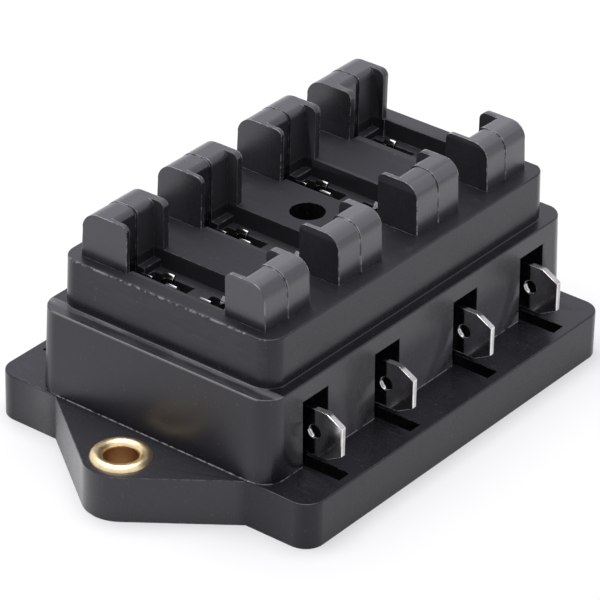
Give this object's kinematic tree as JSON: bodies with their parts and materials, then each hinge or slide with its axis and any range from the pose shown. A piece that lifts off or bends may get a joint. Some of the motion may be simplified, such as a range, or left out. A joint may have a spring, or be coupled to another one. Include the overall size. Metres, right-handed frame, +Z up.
{
  "type": "fuse box",
  "caption": "Black moulded fuse box with open sockets for blade fuses between paired towers, push-on tabs along both sides, and two fixing ears with brass eyelets.",
  "frame": {"origin": "centre of the box's outline in plan, on the flat underside", "axes": "+X along the length towards the right fixing ear, +Y across the box towards the back row of tabs, +Z up from the underside"},
  "size_m": [0.0798, 0.0486, 0.0313],
  "materials": {
    "housing": "satin moulded black",
    "eyelet": "polished",
    "contact": "bright tin plate over brass strip"
  },
  "bodies": {
    "root": {"housing": "housing", "eyelet_left": "eyelet", "eyelet_right": "eyelet", "contact_front_1": "contact", "contact_front_2": "contact", "contact_front_3": "contact", "contact_front_4": "contact", "contact_back_1": "contact", "contact_back_2": "contact", "contact_back_3": "contact", "contact_back_4": "contact"}
  },
  "joints": []
}
